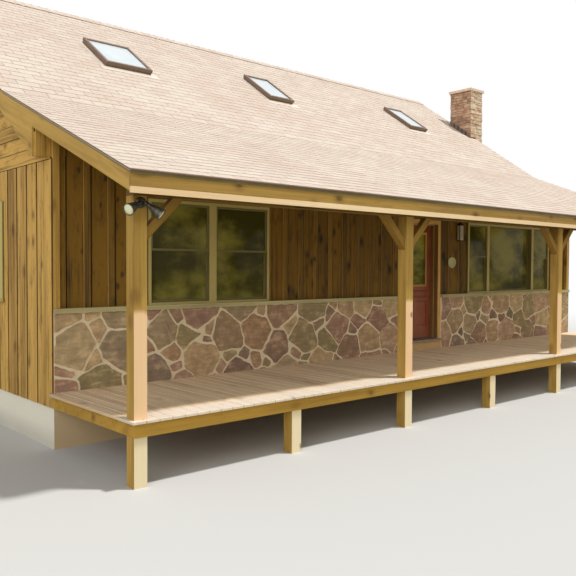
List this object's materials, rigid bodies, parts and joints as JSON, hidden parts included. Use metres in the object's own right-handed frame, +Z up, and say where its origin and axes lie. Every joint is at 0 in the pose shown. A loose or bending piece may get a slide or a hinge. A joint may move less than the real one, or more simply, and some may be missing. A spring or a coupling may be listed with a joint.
{
  "type": "gabled cabin with stone wainscot, board siding and a full-length timber porch",
  "caption": "One-room gabled cabin with board siding, stone wainscot, full-length timber porch, skylit shingle roof, stone chimney and a hinged front door.",
  "frame": {"origin": "centre of the bounding box, at ground level", "axes": "+X along the ridge to the chimney gable, +Y from the porch to the back wall, +Z up"},
  "size_m": [12.708, 11.225, 6.5995],
  "materials": {
    "concrete": "rough cast concrete and block",
    "fieldstone": "irregular fieldstones in pale mortar",
    "chimney_stone": "thin flat stones in courses",
    "shingles": "mineral-faced asphalt shingles, matt",
    "door_paint": "panelled wood door in dark red paint",
    "brass_hardware": "worn brass",
    "tan_trim": "stained boards",
    "lamp_metal": "painted metal lamp housings",
    "ledge_wood": "weathered grey-green painted boards",
    "deck_wood": "weathered deck boards",
    "skylight_metal": "brown painted metal curb and cladding",
    "window_glass": "clear window glass",
    "window_trim": "olive-brown painted boards",
    "board_siding": "knotty stained boards and battens",
    "trim_wood": "golden stained boards",
    "porch_timber": "golden stained sawn timber"
  },
  "bodies": {
    "house": {"back_fascia": "trim_wood", "back_wall": "board_siding", "back_window_frames": "window_trim", "back_window_glass": "window_glass", "chimney": "chimney_stone", "chimney_cap": "concrete", "deck_joists": "porch_timber", "deck_posts": "porch_timber", "deck_rim": "porch_timber", "door_frame": "tan_trim", "door_hinges": "brass_hardware", "door_threshold": "tan_trim", "fascia_trim": "trim_wood", "flood_light": "lamp_metal", "floor_joists": "porch_timber", "foundation": "concrete", "front_glass_left": "window_glass", "front_glass_right": "window_glass", "front_wall_left": "board_siding", "front_wall_over_door": "board_siding", "front_wall_right": "board_siding", "front_window_left": "window_trim", "front_window_right": "window_trim", "house_floor": "deck_wood", "knee_braces": "porch_timber", "left_barge_boards": "trim_wood", "left_gable_wall": "board_siding", "left_gable_window_frames": "window_trim", "left_gable_window_glass": "window_glass", "main_roof_back": "shingles", "main_roof_front": "shingles", "porch_beam": "porch_timber", "porch_deck": "deck_wood", "porch_fascia": "trim_wood", "porch_post_1": "porch_timber", "porch_post_2": "porch_timber", "porch_post_3": "porch_timber", "porch_post_4": "porch_timber", "porch_rafters": "porch_timber", "porch_roof": "shingles", "ridge_cap": "shingles", "right_barge_boards": "trim_wood", "right_gable_wall": "board_siding", "right_gable_window_frames": "window_trim", "right_gable_window_glass": "window_glass", "skylight_frames": "skylight_metal", "skylight_glass": "window_glass", "stone_ledges": "ledge_wood", "stone_wainscot_left": "fieldstone", "stone_wainscot_right": "fieldstone", "wall_lantern": "lamp_metal"},
    "front_door": {"door_leaf": "door_paint", "door_glass": "window_glass", "door_knob": "brass_hardware"}
  },
  "joints": [
    {"name": "front_door_hinge", "type": "hinge", "parent": "house", "child": "front_door", "pos_m": [1.0435, -3.2155, 1.845], "axis": [0, 0, -1], "range_deg": [0, 95]}
  ]
}
